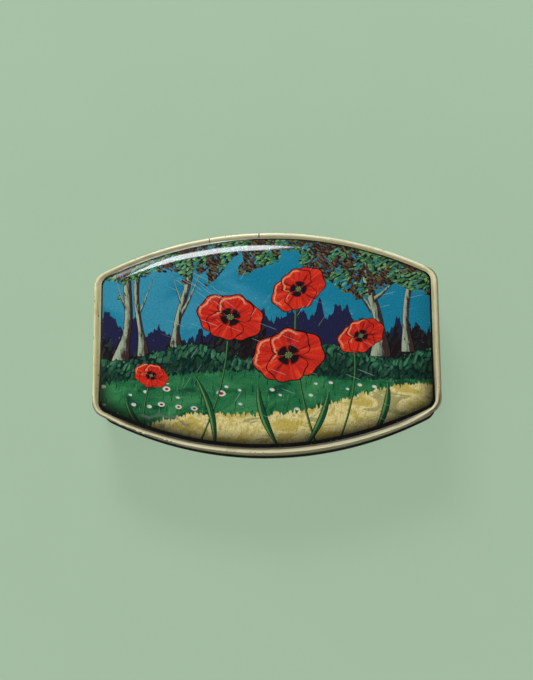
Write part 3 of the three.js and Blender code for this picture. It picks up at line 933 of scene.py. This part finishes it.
def bushes(f, colour):
    """Rounded bushes before the woods: a swinging skyline with leafy noise, lit along its top."""
    leafy = f.noise(f.place, 0.3, 4, 0.6, flat=True)
    over = f.scaled(leafy, 6.0, f.scaled(sine(f.scaled(f.x, 0.11, 5.2)), 3.4, -f.y - 8.0))
    bush = leaves(f, linear(6, 40, 34), linear(26, 84, 62), linear(84, 148, 104), size=2.6, turn=66)
    bush = f.mix(bush, linear(4, 34, 30), f.ease(over, 2.0, 8.0) * 0.7)
    bush = f.mix(bush, INK, f.line(over, 0.2, 0.22, 0.12))
    return f.mix(colour, bush, f.ease(over, -0.08, 0.08))


def parabola(f, t, start, finish, bend):
    """start + t (finish - start) + 4 bend t (1 - t), as two multiply-adds."""
    return f.scaled(f.scaled(t, -4 * bend, finish - start + 4 * bend), t, start)


def trees(f, colour):
    """Pale trunks and their boughs. The topmost one at a point gives how far across it the point lies, from
    -1 to 1; that place gives light from the left, bark ticks and an ink outline. A trunk's middle line sways
    by a sine and it widens towards its foot; a bough is a parabola that thins to its tip."""
    across = NOWHERE
    for x, lean, sway, phase, half_width, foot_y in TRUNKS:
        middle = f.scaled(sine(f.scaled(f.y, 0.13, phase)), sway, f.scaled(f.y, lean, x - foot_y * lean))
        off = (f.x - middle) / f.ease(f.y, foot_y + 13, foot_y - 1, half_width * 0.8, half_width * 1.9)
        across = f.choose(across, off, f.near(off, 0.0, 1.0) * (f.y > foot_y))
    for x_from, x_to, y_from, y_to, bend, half_width in BOUGHS:
        t = f.scaled(f.x, 1 / (x_to - x_from), x_from / (x_from - x_to))
        off = (parabola(f, t, y_from, y_to, bend) - f.y) / f.scaled(t, -half_width, 1.08 * half_width)
        across = f.choose(across, off, f.near(off, 0.0, 1.0) * f.near(t, 0.5, 0.5))
    streaks = f.streaked((1.1, 0.22, 1), 4, 3, 0.6, 0.4, flat=True)
    bark = f.mix(BARK_LIGHT, BARK, f.ease(f.scaled(streaks, 2.2, across), 0.5, 1.3))
    bark = f.mix(bark, UMBER, f.ease(f.scaled(streaks, 1.6, across), 0.90, 1.06))
    bark = f.mix(bark, linear(44, 34, 36), f.ease(streaks, 0.61, 0.65) * 0.8)
    bark = f.mix(bark, INK, f.ease(abs(across), 0.82, 0.92))
    return f.mix(colour, bark, f.near(across, 0.0, 1.0))


def grass(f, colour):
    """The meadow: flat greens that change slowly, a few darker and lighter brush strokes, and an upper edge
    cut into blades."""
    mottle = f.streaked((0.05, 0.11, 1), 6, 4, 0.58, 0.5, flat=True)
    lawn = f.mix(MEADOW, MEADOW_LIGHT, f.ease(mottle, 0.44, 0.68) * 0.8)
    lawn = f.mix(lawn, linear(12, 66, 46), f.ease(mottle, 0.44, 0.34) * 0.8)
    strokes = f.streaked((0.75, 0.15, 1), -9, 3, 0.6, 0.3, flat=True)
    lawn = f.mix(lawn, linear(8, 56, 40), f.ease(strokes, 0.38, 0.33) * 0.8)
    lawn = f.mix(lawn, LEAF_LIGHT, f.ease(strokes, 0.66, 0.70) * 0.55)
    over = skyline(f, height=-16.0, swing=2.2, per_mm=0.045, phase=2.2, depth=2.2, coarse=0.9)
    return f.mix(colour, lawn, f.ease(over, 0.12, -0.12))


def daisies(f, colour, cell, share, top, seed):
    """Small flat flowers, at most one to a cell of a jittered grid: a cream oval, the larger ones with a red
    eye, each over its own slipped print of pale blue."""
    place = f.turned(-7, (cell, cell, 1), (seed, seed * 0.37, 0))
    cells = f.node("ShaderNodeTexVoronoi", {"Vector": place, "Scale": 1.0, "Randomness": 0.85},
                   output="Position", voronoi_dimensions="2D").socket.node
    u, v, _ = f.split(f.vector("SUBTRACT", place, Wire(f, cells.outputs["Position"])))
    chance, size, _ = f.split(Wire(f, cells.outputs["Color"]))
    width = f.scaled(size * size, 0.21, 0.10)
    away = root(f.scaled(v, v * 2.4, u * u))
    shown = (chance < share) * (f.y < top)
    slipped = root(f.scaled(v - 0.035, (v - 0.035) * 2.4, (u + 0.05) * (u + 0.05)))
    colour = f.mix(colour, linear(112, 178, 196), f.ease(slipped - width, 0.02, -0.02) * shown)
    colour = f.mix(colour, PETAL_CREAM, f.ease(away - width, 0.02, -0.02) * shown)
    eye = f.ease(away - width * 0.5, 0.02, -0.02) * (size > 0.62)
    return f.mix(colour, linear(150, 40, 28), eye * shown)


def stubble(f, colour):
    """Ripe straw along the front: a wedge that rises to the right, brushed in slanting strokes, with cut
    stalks at its edge."""
    strokes = f.streaked((0.8, 0.3, 1), -16, 4, 0.62, 0.6, flat=True)
    clumps = f.streaked((0.07, 0.14, 1), 5, 4, 0.6, 0.6, flat=True)
    field = f.mix(STRAW, STRAW_DARK, f.ease(strokes, 0.48, 0.70) * 0.6)
    field = f.mix(field, linear(206, 180, 66), f.ease(clumps, 0.50, 0.60) * 0.75)
    field = f.mix(field, linear(150, 150, 96), f.ease(clumps, 0.40, 0.36) * 0.7)
    edge = skyline(f, height=-30.5, swing=2.6, per_mm=0.07, phase=3.9, depth=3.4, coarse=0.8)
    over = edge - f.x * 0.13
    return f.mix(colour, field, f.ease(over, 0.12, -0.12))


def stalks(f, colour):
    """Stalks and blades of grass, each a parabola; a blade's width follows 4 t (1 - t). The topmost one gives
    how far across it a point lies, and that place gives two greens and an ink edge."""
    across = NOWHERE
    for foot, top, bend, half_width, tapers in STALKS:
        rise = top[1] - foot[1]
        t = f.scaled(f.y, 1 / rise, -foot[1] / rise)
        width = f.scaled(f.scaled(t, -4 * half_width, 4 * half_width), t, 0.01) if tapers else half_width
        off = (f.x - parabola(f, t, foot[0], top[0], bend)) / width
        across = f.choose(across, off, f.near(off, 0.0, 1.0) * f.near(t, 0.5, 0.5))
    green = f.mix(linear(104, 152, 86), linear(20, 84, 50), f.ease(across, -0.35, 0.05))
    green = f.mix(green, linear(6, 30, 22), f.ease(abs(across), 0.62, 0.86))
    return f.mix(colour, green, f.near(across, 0.0, 1.0))


# A poppy's two petal pairs: reach of the narrowest part, swell of the lobes, turn, depth of the ruffles
PETAL_PAIRS = [(0.50, 0.50, 0.0, -0.035), (0.34, 0.50, math.pi / 2 + 0.25, 0.035)]


def petal_rim(f, angle, seed, pair):
    """Where a pair's edge lies: reach + swell |cos|^0.7, ruffled by a sine; and how full its lobe is."""
    reach, swell, turn, ruffle = pair
    spread = abs(cosine(angle + turn))
    ruffled = f.scaled(sine(f.scaled(angle, 9.0, seed)), ruffle, reach)
    return f.scaled(spread ** 0.7, swell, ruffled), spread


def petals(f, colour, away, angle, streak, seed, pair):
    """One pair of petals: flat red with a few dark folds, a pale gleam inside the rim on the upper left,
    inked round the edge."""
    rim, spread = petal_rim(f, angle, seed, pair)
    inside = rim - away
    petal = f.mix(RED, RED_SHADE, f.ease(f.scaled(away, -0.12, streak), 0.34, 0.48) * 0.8)
    petal = f.mix(petal, RED_LIGHT, f.ease(streak, 0.41, 0.33) * 0.7)
    petal = f.mix(petal, RED_DEEP, f.ease(streak, 0.57, 0.62) * f.ease(away, 0.85, 0.35))
    petal = f.mix(petal, RED_DEEP, f.ease(spread, 0.26, 0.0) * 0.8)
    gleam = f.line(f.scaled(streak, 0.16, inside), 0.19, 0.030, 0.014)
    gleam = gleam * f.ease(cosine(angle - 2.2), 0.25, 0.6)
    petal = f.mix(petal, RED_GLEAM, gleam * 0.9)
    petal = f.mix(petal, INK, f.ease(inside, 0.042, 0.024))
    return f.mix(colour, petal, inside > 0.0)


def poppies(f, colour):
    """Poppies seen from the front. The topmost one at a point gives the point's place in radii from its
    middle; from it come two petals behind, two before, dark blotches, a ring of stamens and a green eye."""
    found = (NOWHERE, NOWHERE, 0.0)
    for centre, radius, turn, squash, seed in POPPIES:
        local = f.turned(turn, (radius, radius * squash, FLAT), (*centre, 0.0))
        u, v, _ = f.split(local)
        angle = turn_of(v, u)
        rims = [petal_rim(f, angle, seed, pair)[0] for pair in PETAL_PAIRS]
        covered = f.length(local) < higher(*rims)
        found = f.node("ShaderNodeMix", {0: covered, 4: found, 5: f.point(u, v, seed)}, output=1,
                       data_type="VECTOR")
    u, v, seed = f.split(found)
    angle = turn_of(v, u)
    away = root(f.scaled(u, u, v * v))
    streak = f.noise(f.point(cosine(angle) * 3.2, sine(angle) * 3.2, f.scaled(away, 0.5, seed)), 1.6, 3, 0.6)
    for pair in PETAL_PAIRS:
        colour = petals(f, colour, away, angle, streak, seed, pair)
    blotch = f.ease(f.scaled(streak, 0.10, away), 0.39, 0.33) * f.ease(abs(sine(angle * 2)), 0.0, 0.5)
    colour = f.mix(colour, NIGHT, blotch)
    stamens = f.ease(sine(f.scaled(angle, 22.0, away * 30)), 0.1, 0.5) * f.line(away, 0.20, 0.055, 0.02)
    colour = f.mix(colour, linear(20, 14, 18), stamens)
    eye = f.mix(linear(132, 150, 92), linear(34, 56, 34), f.ease(sine(angle * 8), -0.2, 0.5))
    eye = f.mix(eye, INK, f.ease(away, 0.095, 0.118))
    return f.mix(colour, eye, f.ease(away, 0.135, 0.122))


def meadow_print(name):
    """The whole picture from back to front, then painted shade towards its edge, then its varnish: scratches,
    a scrape, nicks, and the black line round it, which is widened in front as painted shade, with a painted
    highlight along its foot in the rear."""
    f = Finish(name)
    colour = woods(f, sky(f))
    colour = bushes(f, canopy(f, trees(f, colour)))
    colour = daisies(f, grass(f, colour), cell=6.4, share=0.55, top=-18.5, seed=3.0)
    colour = poppies(f, stalks(f, stubble(f, colour)))
    edge = f.attribute("edge_mm")
    # Painted shade: the picture darkens towards the panel's edge, most in front, where the dome falls away
    # from the light.
    front = f.ease(f.y, -4.0, -26.0)
    colour = f.tint(colour, linear(40, 52, 40), f.ease(edge, 8.5, 0.6) * f.scaled(front, 0.75, 0.22))
    litho = f.noise(f.place, 1.5, 4, 0.7, flat=True)
    colour = f.tint(colour, linear(196, 196, 188), f.ease(litho, 0.44, 0.60) * 0.5)
    worn = None
    for turn, pitch, length, share, centre, reach, seed in SCRATCHES:
        scratch = scratches(f, turn, pitch, length, share, centre, reach, seed)
        worn = scratch if worn is None else higher(worn, scratch)
    colour = f.mix(colour, linear(196, 214, 212), worn * 0.6)
    rub_and_highlight = scrape(f)
    colour = f.mix(colour, linear(104, 112, 102), rub_and_highlight * 0.62)
    nicks = f.ease(f.noise(f.place, 0.9, 5, 0.7, flat=True), 0.725, 0.745)
    crumbled = f.ease(f.noise(f.place, 1.8, 4, 0.65, flat=True), 0.60, 0.66)
    nicks = higher(nicks, crumbled * patch(f, centre=(58.0, -29.0), reach=(2.6, 1.2), turn=20))
    colour = f.mix(colour, linear(206, 200, 172), nicks)
    # The printed black line round the panel, widened in front, where it also paints the shade at the dome's
    # foot.
    widened = f.scaled(f.ease(f.y, -24.0, -36.0), -0.6, f.scaled(litho, 0.12, edge))
    colour = f.mix(colour, linear(5, 4, 4), f.ease(widened, 1.06, 0.68))
    # Painted highlight: a near-white thread along the panel's foot in the rear.
    colour = f.mix(colour, THREAD_WHITE, f.ease(edge, 0.46, 0.26) * thread_highlight(f))
    edge_chips = f.ease(f.noise(f.place, 1.1, 5, 0.7), 0.62, 0.66) * f.line(edge, 0.2, 0.25, 0.15)
    colour = f.mix(colour, linear(150, 142, 112), edge_chips * 0.7)
    rough = f.scaled(higher(f.scaled(worn, 0.6), higher(rub_and_highlight, nicks)), 0.3, 0.085)
    dust = f.noise(f.place, 0.03, 3, 0.5, 0.5)
    relief = 0.35 * dust - 0.2 * worn - 0.3 * rub_and_highlight - 0.7 * nicks + 0.012 * litho - 0.3 * edge_chips
    return f.end(colour, rough, relief, depth=0.05, ior=1.42)


def patch(f, centre, reach, turn):
    """A soft-edged, turned ellipse of 1 in a field of 0."""
    return f.ease(f.length(f.turned(turn, (*reach, FLAT), (*centre, 0.0))), 1.0, 0.6)


def scratches(f, turn, pitch, length, share, centre, reach, seed):
    """Straight fine scratches in a patch, in a share of the cells of a turned grid: white noise shifts each
    row and gives each scratch its place across the row, its length and its strength."""
    u, v, _ = f.split(f.turned(turn, (length, pitch, 1), (seed, seed * 0.7, 0)))
    row = whole(v)
    u = u + f.node("ShaderNodeTexWhiteNoise", {"W": row}, output="Value", noise_dimensions="1D")
    cell = whole(u)
    drawn = f.node("ShaderNodeTexWhiteNoise", {"Vector": f.point(cell, row)}, output="Color",
                   noise_dimensions="2D")
    at, long, faint = f.split(drawn)
    across = abs(v - row - f.scaled(at, 0.8, 0.1)) * pitch
    along = abs(u - cell - 0.5) - f.scaled(long, 0.34, 0.06)
    shown = f.ease(faint, 1 - share, 1.05 - share * 0.3) * patch(f, centre, reach, turn)
    return shown * f.ease(along, 0.04, -0.12) * f.ease(across, 0.11, 0.04)


def scrape(f):
    """A wavy grey rub at the lower left: a band about a bent line, ragged by noise, fading at both ends."""
    bent = f.scaled(f.ease(f.x, -42.0, -33.0), -3.6, f.scaled(sine(f.scaled(f.x, 0.8, 0.4)), 0.5, -32.4))
    ragged = f.streaked((0.45, 1.5, 1), -8, 4, 0.65, flat=True)
    off = f.scaled(ragged, -2.2, abs(f.y - bent))
    return f.ease(off, -0.30, -0.75) * f.ease(abs(f.x + 42.5), 13.0, 9.0)


# Trunks: x at the foot, lean, sway, phase, half width, foot height
TRUNKS = [
    (-62.0, 0.08, 1.3, 0.5, 2.3, -9.0),
    (-53.5, -0.05, 1.0, 2.2, 1.5, -6.5),
    (-38.0, 0.10, 1.5, 4.1, 1.9, -7.0),
    (49.0, -0.10, 1.4, 1.1, 2.6, -8.0),
    (60.5, 0.06, 1.1, 3.4, 1.7, -6.0),
]

# Boughs: x from and to, y from and to, bend, half width
BOUGHS = [
    (-54.2, -47.5, 13.0, 33.0, -1.6, 1.4),
    (-36.0, -27.0, 12.0, 34.0, -2.0, 1.8),
    (-36.4, -41.5, 17.0, 34.0, -1.2, 1.3),
    (45.5, 29.0, 12.0, 33.0, 2.0, 1.5),
    (47.0, 60.0, 17.0, 31.0, -1.5, 1.3),
    (-60.6, -66.0, 15.0, 31.0, -1.3, 1.4),
    (-31.5, -33.2, 19.5, 35.0, 0.4, 0.8),
    (39.5, 42.5, 20.0, 34.0, 0.0, 0.9),
]

# Stalks and blades: foot, top, bend, half width, whether it tapers
STALKS = [
    ((-30.0, -47.0), (-16.0, 8.0), 4.0, 0.45, False),
    ((22.0, -47.0), (14.0, 20.0), -4.0, 0.5, False),
    ((30.0, -46.0), (38.0, -2.0), 3.0, 0.45, False),
    ((-52.0, -44.0), (-49.0, -16.0), -1.5, 0.4, False),
    ((-22.0, -47.0), (-31.0, -14.0), 3.0, 1.5, True),
    ((6.0, -47.0), (-3.0, -19.0), -2.5, 1.7, True),
    ((16.0, -47.0), (27.0, -22.0), 2.0, 1.6, True),
    ((44.0, -44.0), (52.0, -18.0), 2.6, 1.5, True),
    ((-44.0, -46.0), (-60.0, -24.0), -3.0, 1.4, True),
]

# Poppies: centre, radius, turn, squash, seed
POPPIES = [
    ((-49.0, -15.0), 7.6, -20, 0.82, 9.0),
    ((41.0, 1.0), 10.5, 24, 0.80, 5.0),
    ((-15.0, 10.0), 14.5, -16, 0.86, 1.0),
    ((14.5, 22.0), 12.6, 32, 0.84, 3.0),
    ((10.0, -7.0), 15.5, 8, 0.90, 7.0),
]

# Scratches: turn, pitch of the rows, length of a cell, share of the cells, the patch's centre and reach, seed
SCRATCHES = [
    (-28, 1.1, 19.0, 0.9, (-29.0, 22.0), (18.0, 9.0), 3.0),
    (-39, 1.4, 14.0, 0.8, (-26.0, 19.0), (17.0, 10.0), 12.0),
    (14, 1.6, 14.0, 0.8, (58.0, 20.0), (13.0, 10.0), 5.0),
    (57, 2.6, 8.0, 0.2, (-4.0, 8.0), (58.0, 34.0), 21.0),
    (-22, 3.2, 11.0, 0.2, (4.0, -8.0), (66.0, 36.0), 31.0),
]


# The pieces, each on its body

picture = meadow_print("meadow_print")
rim_cream = cream_paint("rim_cream", on_bead=True)
side_cream = cream_paint("side_cream", foot_band=FOOT_BAND)
inside_tin = tinplate("inside_tinplate", worn=0.08, bright=0.5)
hinge_tin = tinplate("hinge_tinplate", tarnish=0.8, rust=0.8, worn=0.05)
base_black = black_japan("base_black")
wire_steel = drawn_wire("wire_steel")
slit_dark = slit_shadow("slit_dark")


def dressed(piece, body, finishes, nodes=()):
    """Gives a piece its finishes and its body, and hides the nodes that it stands for."""
    for finish in finishes:
        piece.data.materials.append(finish)
    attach(piece, body)
    if nodes:
        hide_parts(*nodes)
    return piece


dressed(lid_piece(), "lid", [picture, rim_cream, inside_tin], ["lid_shell"])
dressed(wall_piece(), "body", [side_cream, inside_tin], ["body_wall"])
dressed(base_piece(), "body", [base_black, inside_tin], ["base_plate"])
dressed(body_leaf_piece(), "body", [hinge_tin], ["body_hinge_leaf"])
dressed(pin_piece(), "body", [wire_steel], ["hinge_pin"])
dressed(lid_tab_piece("lid_tab_left", -TAB_OUTER, -TAB_INNER), "lid", [hinge_tin],
        ["lid_hinge_tab_left"])
dressed(lid_tab_piece("lid_tab_right", TAB_INNER, TAB_OUTER), "lid", [hinge_tin],
        ["lid_hinge_tab_right"])
dressed(lap_seam_piece(), "body", [side_cream])
dressed(slit_piece("rim_slit_left", SLIT_X[0]), "lid", [slit_dark])
dressed(slit_piece("rim_slit_right", SLIT_X[1]), "lid", [slit_dark])


# Camera: nearly straight above, leaning a little over the front and to the right

PITCH, YAW, ROLL = math.radians(10.87), math.radians(2.44), math.radians(-0.36)
DISTANCE = 540.0
PIXELS_PER_MM = 2.3125
FRAME_LONG_SIDE = 680
AIM_RIGHT, AIM_UP = 0.38, 0.58


def photo_camera():
    """A pinhole at the photograph's angle: a unit vector back from the aim, an up vector square to it, then
    roll."""
    back = Vector((math.sin(YAW) * math.cos(PITCH), -math.sin(PITCH), math.cos(YAW) * math.cos(PITCH)))
    back.normalize()
    up = (Vector((0, 1, 0)) - back * back.y).normalized()
    right = up.cross(back)
    turned_right = right * math.cos(ROLL) + up * math.sin(ROLL)
    turned_up = up * math.cos(ROLL) - right * math.sin(ROLL)
    aim = Vector((0, PLAN_Y, BEAD_Z)) + turned_right * AIM_RIGHT + turned_up * AIM_UP
    lens = bpy.data.cameras.new("photo_camera")
    lens.sensor_width = 36
    lens.lens = PIXELS_PER_MM * DISTANCE / FRAME_LONG_SIDE * lens.sensor_width
    lens.clip_start = 0.01
    camera = linked("photo_camera", lens)
    turned = Matrix((turned_right, turned_up, back)).transposed()
    camera.matrix_world = Matrix.Translation((aim + back * DISTANCE) * MM) @ turned.to_4x4()
    bpy.context.scene.camera = camera


# Soft studio light and a plain pale floor

FLOOR_GREEN = linear(178, 205, 176)
BACKDROP_GREEN = linear(167, 193, 165)
EVEN_SHARE = 0.72
EVEN_FROM_TO = (110.0, 330.0)
FLOOR_HALF = 15.0
GLOW_LOW, GLOW_OVERHEAD = 2.0, 0.16
GLOW_FRONT, GLOW_LEFT = 0.1, 0.15
SPILL_TOWARDS, SPILL = (-0.4145, 0.8498, 0.3256), 6.0


def softbox(name, azimuth, elevation, distance, width, height, radiance, roll=0.0, colour=(1.0, 1.0, 1.0)):
    """A rectangular lamp that faces the tin. Azimuth is in degrees from straight behind it towards its left;
    roll turns the lamp about its own axis, a positive one lifting its left end."""
    a, e = math.radians(azimuth), math.radians(elevation)
    towards = Vector((-math.sin(a) * math.cos(e), math.cos(a) * math.cos(e), math.sin(e)))
    lamp = bpy.data.lights.new(name, "AREA")
    lamp.shape = "RECTANGLE"
    lamp.color = colour
    lamp.size, lamp.size_y = width, height
    lamp.energy = radiance * math.pi * width * height
    box = linked(name, lamp)
    box.location = towards * distance
    box.rotation_mode = "QUATERNION"
    box.rotation_quaternion = towards.to_track_quat("Z", "Y") @ Quaternion((0, 0, 1), math.radians(roll))


def low_glow():
    """A world that glows low down, brighter and higher in front of the tin than behind it, with one soft
    spill of light behind to the left, and is dim overhead, so that the lid reflects little; to the camera
    itself it is an even pale green."""
    world = bpy.data.worlds.new("low_glow")
    w = Nodes(world)
    towards = w.node("ShaderNodeTexCoord", {}, output="Generated")
    right, behind, height = w.split(towards)
    level = w.ease(w.scaled(behind, 0.17, height), 0.22, 0.32, GLOW_LOW, GLOW_OVERHEAD)
    level = level * w.scaled(behind, -GLOW_FRONT, w.scaled(right, -GLOW_LEFT, 1.0))
    away = w.vector("DISTANCE", towards, SPILL_TOWARDS, output="Value")
    level = level + w.ease(away, 0.15, 0.04, 0.0, SPILL)
    seen = w.node("ShaderNodeLightPath", {}, output="Is Camera Ray")
    glow = w.node("ShaderNodeBackground", {"Color": w.mix((1, 1, 1, 1), BACKDROP_GREEN, seen),
                                           "Strength": w.choose(level, 1.0, seen)})
    w.node("ShaderNodeOutputWorld", {"Surface": glow})
    bpy.context.scene.world = world


def floor_paper():
    """Pale green paper. A share of what the camera sees of it is its own even colour, more of it farther
    out, so that the background stays pale; the rest shows the light and the tin's shadow."""
    f = Finish("floor_paper")
    fibres = f.ease(f.noise(f.place, 0.02, 2, 0.5), 0.4, 0.6)
    tone = f.tint(FLOOR_GREEN, linear(252, 252, 251), fibres)
    paper = f.node("ShaderNodeBsdfPrincipled", {"Base Color": tone, "Roughness": 0.9})
    even = f.node("ShaderNodeEmission", {"Color": BACKDROP_GREEN})
    share = f.ease(f.length(f.place), *EVEN_FROM_TO, EVEN_SHARE, 1.0)
    share = share * f.node("ShaderNodeLightPath", {}, output="Is Camera Ray")
    seen = f.node("ShaderNodeMixShader", {0: share, 1: paper, 2: even})
    f.node("ShaderNodeOutputMaterial", {"Surface": seen})
    return f.material


def studio():
    """The floor, the glow of the world and the lamps."""
    softbox("strip_behind", azimuth=13.0, elevation=35.2, distance=1.5, width=0.62, height=0.36,
            radiance=21.0, roll=-33, colour=(0.93, 0.99, 1.04))
    for name, azimuth, radiance in (("side_left", 90, 5.5), ("side_right", 270, 3.0)):
        softbox(name, azimuth, elevation=9, distance=1.8, width=1.8, height=0.30, radiance=radiance)
    low_glow()
    mesh = bpy.data.meshes.new("floor")
    corners = [(x * FLOOR_HALF, y * FLOOR_HALF, 0) for x, y in ((-1, -1), (1, -1), (1, 1), (-1, 1))]
    mesh.from_pydata(corners, [], [(0, 1, 2, 3)])
    mesh.materials.append(floor_paper())
    linked("floor", mesh)


photo_camera()
studio()
bpy.context.scene.view_settings.view_transform = "Standard"
